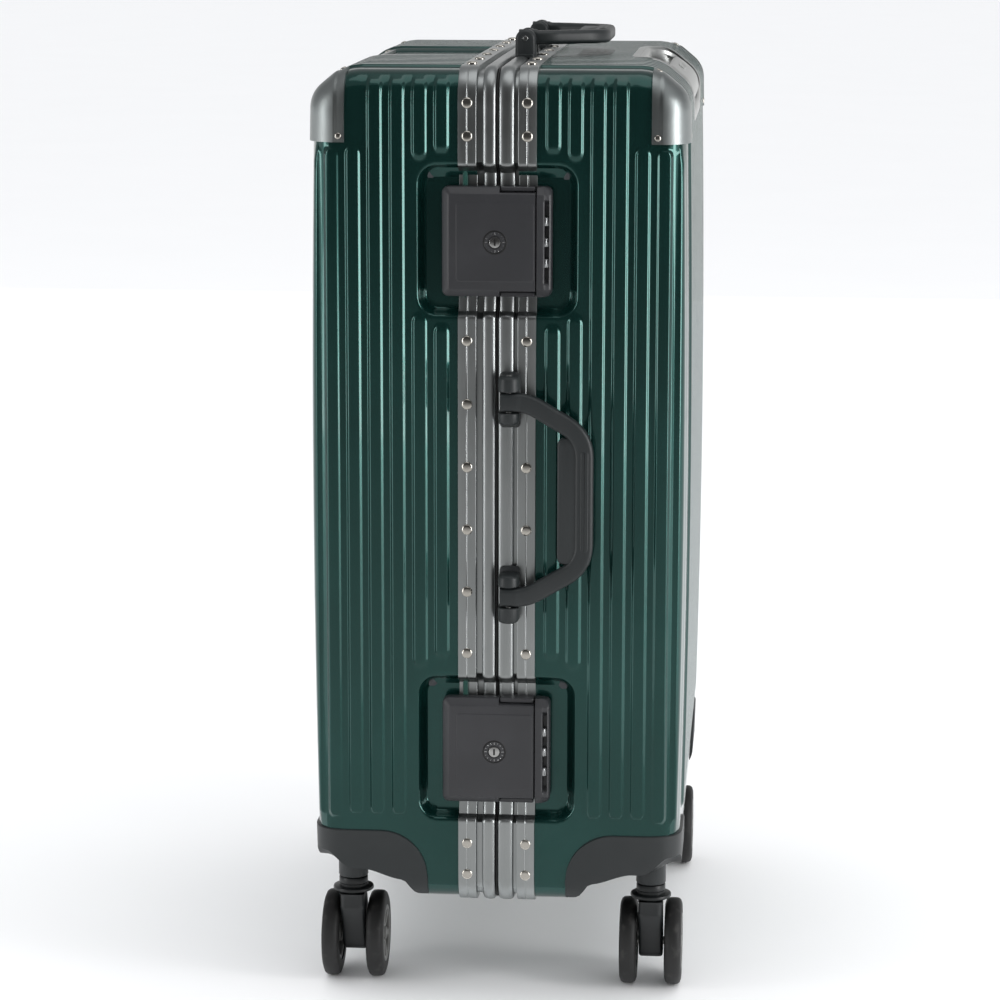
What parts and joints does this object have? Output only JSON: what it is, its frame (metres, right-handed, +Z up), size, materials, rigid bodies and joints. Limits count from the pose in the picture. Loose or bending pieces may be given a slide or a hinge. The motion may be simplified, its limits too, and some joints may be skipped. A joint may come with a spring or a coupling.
{
  "type": "hard shell suitcase on wheels",
  "caption": "Ribbed hard shell suitcase with riveted metal frames, side locks, folding carry handles, pull-out trolley and twin-wheel swivel casters.",
  "frame": {"origin": "on the floor under the middle of the case", "axes": "+Z up, +X towards the locks and side handle, -Y towards the front half, +Y towards the trolley half"},
  "size_m": [0.4792, 0.273, 0.6977],
  "materials": {
    "shell": "glossy metallic green",
    "frame": "gunmetal anodised, satin",
    "seal": "matt black",
    "rivet": "bright nickel",
    "guard": "gunmetal satin",
    "steel": "plain steel",
    "charcoal_plastic": "fine textured charcoal",
    "black_plastic": "satin black",
    "bright_metal": "polished",
    "wheel_rubber": "matt black tyre",
    "silver": "satin silver",
    "tube": "anodised satin",
    "lining": "woven polyester"
  },
  "bodies": {
    "back_case": {"back_caster_housings": "charcoal_plastic", "back_corner_guards": "guard", "back_feet": "charcoal_plastic", "back_frame": "frame", "back_hinge_leaves": "steel", "back_lining": "lining", "back_rivets": "rivet", "back_shell": "shell", "frame_seal": "seal", "handle_brackets": "charcoal_plastic", "lock_bases": "charcoal_plastic", "pivot_pins": "steel", "trolley_cup": "silver", "trolley_outer_tubes": "tube"},
    "front_case": {"front_caster_housings": "charcoal_plastic", "front_corner_guards": "guard", "front_divider": "lining", "front_feet": "charcoal_plastic", "front_frame": "frame", "front_hinge_leaves": "steel", "front_lining": "lining", "front_rivets": "rivet", "front_shell": "shell", "front_trim_plate": "guard", "lock_keepers": "steel"},
    "side_handle": {"side_handle": "charcoal_plastic"},
    "top_handle": {"top_handle": "charcoal_plastic"},
    "trolley": {"trolley_inner_tubes": "tube", "trolley_grip": "silver"},
    "trolley_middle": {"trolley_middle_tubes": "tube"},
    "trolley_button": {"trolley_button": "silver"},
    "upper_lever": {"upper_lock_lever": "charcoal_plastic"},
    "upper_key": {"upper_key_cylinder": "bright_metal"},
    "upper_dial_1": {"upper_dial_1": "bright_metal"},
    "upper_dial_2": {"upper_dial_2": "bright_metal"},
    "upper_dial_3": {"upper_dial_3": "bright_metal"},
    "upper_bolt": {"upper_latch_bolt": "steel"},
    "lower_lever": {"lower_lock_lever": "charcoal_plastic"},
    "lower_key": {"lower_key_cylinder": "bright_metal"},
    "lower_dial_1": {"lower_dial_1": "bright_metal"},
    "lower_dial_2": {"lower_dial_2": "bright_metal"},
    "lower_dial_3": {"lower_dial_3": "bright_metal"},
    "lower_bolt": {"lower_latch_bolt": "steel"},
    "front_lock_caster": {"front_lock_caster_fork": "black_plastic", "front_lock_caster_axle": "steel"},
    "front_lock_caster_wheel_a": {"front_lock_caster_wheel_a": "wheel_rubber"},
    "front_lock_caster_wheel_b": {"front_lock_caster_wheel_b": "wheel_rubber"},
    "front_hinge_caster": {"front_hinge_caster_fork": "black_plastic", "front_hinge_caster_axle": "steel"},
    "front_hinge_caster_wheel_a": {"front_hinge_caster_wheel_a": "wheel_rubber"},
    "front_hinge_caster_wheel_b": {"front_hinge_caster_wheel_b": "wheel_rubber"},
    "back_lock_caster": {"back_lock_caster_fork": "black_plastic", "back_lock_caster_axle": "steel"},
    "back_lock_caster_wheel_a": {"back_lock_caster_wheel_a": "wheel_rubber"},
    "back_lock_caster_wheel_b": {"back_lock_caster_wheel_b": "wheel_rubber"},
    "back_hinge_caster": {"back_hinge_caster_fork": "black_plastic", "back_hinge_caster_axle": "steel"},
    "back_hinge_caster_wheel_a": {"back_hinge_caster_wheel_a": "wheel_rubber"},
    "back_hinge_caster_wheel_b": {"back_hinge_caster_wheel_b": "wheel_rubber"}
  },
  "joints": [
    {"name": "front_opening", "type": "hinge", "parent": "back_case", "child": "front_case", "pos_m": [-0.234, 0, 0.376], "axis": [0, 0, -1], "range_deg": [0, 180]},
    {"name": "side_handle_fold", "type": "hinge", "parent": "back_case", "child": "side_handle", "pos_m": [0.2342, 0.0095, 0.3765], "axis": [0, 0, -1], "range_deg": [0, 95]},
    {"name": "top_handle_fold", "type": "hinge", "parent": "back_case", "child": "top_handle", "pos_m": [0, 0.0095, 0.6912], "axis": [1, 0, 0], "range_deg": [0, 95]},
    {"name": "trolley_pull", "type": "slide", "parent": "back_case", "child": "trolley", "axis": [0, 0, 1], "range_m": [0, 0.42]},
    {"name": "trolley_middle_pull", "type": "slide", "parent": "back_case", "child": "trolley_middle", "axis": [0, 0, 1], "range_m": [0, 0.21]},
    {"name": "trolley_button_press", "type": "slide", "parent": "trolley", "child": "trolley_button", "axis": [0, -0.6402, -0.7682], "range_m": [0, 0.0025], "stiffness_N_per_m": 300, "springref_m": -0.002},
    {"name": "upper_lever_flip", "type": "hinge", "parent": "back_case", "child": "upper_lever", "pos_m": [0.2217, 0.0218, 0.557], "axis": [0, 0, 1], "range_deg": [0, 85]},
    {"name": "upper_key_turn", "type": "hinge", "parent": "upper_lever", "child": "upper_key", "pos_m": [0.2237, -0.001, 0.557], "axis": [1, 0, 0], "range_deg": [0, 90]},
    {"name": "upper_dial_1_turn", "type": "hinge", "parent": "back_case", "child": "upper_dial_1", "pos_m": [0.2223, 0.0332, 0.5425], "axis": [0, 0, 1], "continuous": true},
    {"name": "upper_dial_2_turn", "type": "hinge", "parent": "back_case", "child": "upper_dial_2", "pos_m": [0.2223, 0.0332, 0.557], "axis": [0, 0, 1], "continuous": true},
    {"name": "upper_dial_3_turn", "type": "hinge", "parent": "back_case", "child": "upper_dial_3", "pos_m": [0.2223, 0.0332, 0.5715], "axis": [0, 0, 1], "continuous": true},
    {"name": "upper_bolt_slide", "type": "slide", "parent": "back_case", "child": "upper_bolt", "axis": [0, -1, 0], "range_m": [0, 0.006]},
    {"name": "lower_lever_flip", "type": "hinge", "parent": "back_case", "child": "lower_lever", "pos_m": [0.2217, 0.0218, 0.192], "axis": [0, 0, 1], "range_deg": [0, 85]},
    {"name": "lower_key_turn", "type": "hinge", "parent": "lower_lever", "child": "lower_key", "pos_m": [0.2237, -0.001, 0.192], "axis": [1, 0, 0], "range_deg": [0, 90]},
    {"name": "lower_dial_1_turn", "type": "hinge", "parent": "back_case", "child": "lower_dial_1", "pos_m": [0.2223, 0.0332, 0.1775], "axis": [0, 0, 1], "continuous": true},
    {"name": "lower_dial_2_turn", "type": "hinge", "parent": "back_case", "child": "lower_dial_2", "pos_m": [0.2223, 0.0332, 0.192], "axis": [0, 0, 1], "continuous": true},
    {"name": "lower_dial_3_turn", "type": "hinge", "parent": "back_case", "child": "lower_dial_3", "pos_m": [0.2223, 0.0332, 0.2065], "axis": [0, 0, 1], "continuous": true},
    {"name": "lower_bolt_slide", "type": "slide", "parent": "back_case", "child": "lower_bolt", "axis": [0, -1, 0], "range_m": [0, 0.006]},
    {"name": "front_lock_caster_swivel", "type": "hinge", "parent": "front_case", "child": "front_lock_caster", "pos_m": [0.17, -0.11, 0.066], "axis": [0, 0, 1], "continuous": true},
    {"name": "front_lock_caster_wheel_a_roll", "type": "hinge", "parent": "front_lock_caster", "child": "front_lock_caster_wheel_a", "pos_m": [0.156, -0.1265, 0.032], "axis": [0, 1, 0], "continuous": true},
    {"name": "front_lock_caster_wheel_b_roll", "type": "hinge", "parent": "front_lock_caster", "child": "front_lock_caster_wheel_b", "pos_m": [0.156, -0.0935, 0.032], "axis": [0, 1, 0], "continuous": true},
    {"name": "front_hinge_caster_swivel", "type": "hinge", "parent": "front_case", "child": "front_hinge_caster", "pos_m": [-0.17, -0.11, 0.066], "axis": [0, 0, 1], "continuous": true},
    {"name": "front_hinge_caster_wheel_a_roll", "type": "hinge", "parent": "front_hinge_caster", "child": "front_hinge_caster_wheel_a", "pos_m": [-0.156, -0.1265, 0.032], "axis": [0, 1, 0], "continuous": true},
    {"name": "front_hinge_caster_wheel_b_roll", "type": "hinge", "parent": "front_hinge_caster", "child": "front_hinge_caster_wheel_b", "pos_m": [-0.156, -0.0935, 0.032], "axis": [0, 1, 0], "continuous": true},
    {"name": "back_lock_caster_swivel", "type": "hinge", "parent": "back_case", "child": "back_lock_caster", "pos_m": [0.17, 0.11, 0.066], "axis": [0, 0, 1], "continuous": true},
    {"name": "back_lock_caster_wheel_a_roll", "type": "hinge", "parent": "back_lock_caster", "child": "back_lock_caster_wheel_a", "pos_m": [0.156, 0.0935, 0.032], "axis": [0, 1, 0], "continuous": true},
    {"name": "back_lock_caster_wheel_b_roll", "type": "hinge", "parent": "back_lock_caster", "child": "back_lock_caster_wheel_b", "pos_m": [0.156, 0.1265, 0.032], "axis": [0, 1, 0], "continuous": true},
    {"name": "back_hinge_caster_swivel", "type": "hinge", "parent": "back_case", "child": "back_hinge_caster", "pos_m": [-0.17, 0.11, 0.066], "axis": [0, 0, 1], "continuous": true},
    {"name": "back_hinge_caster_wheel_a_roll", "type": "hinge", "parent": "back_hinge_caster", "child": "back_hinge_caster_wheel_a", "pos_m": [-0.156, 0.0935, 0.032], "axis": [0, 1, 0], "continuous": true},
    {"name": "back_hinge_caster_wheel_b_roll", "type": "hinge", "parent": "back_hinge_caster", "child": "back_hinge_caster_wheel_b", "pos_m": [-0.156, 0.1265, 0.032], "axis": [0, 1, 0], "continuous": true}
  ],
  "couplings": [
    {"joint": "trolley_middle_pull", "follows": "trolley_pull", "ratio": 0.5}
  ]
}
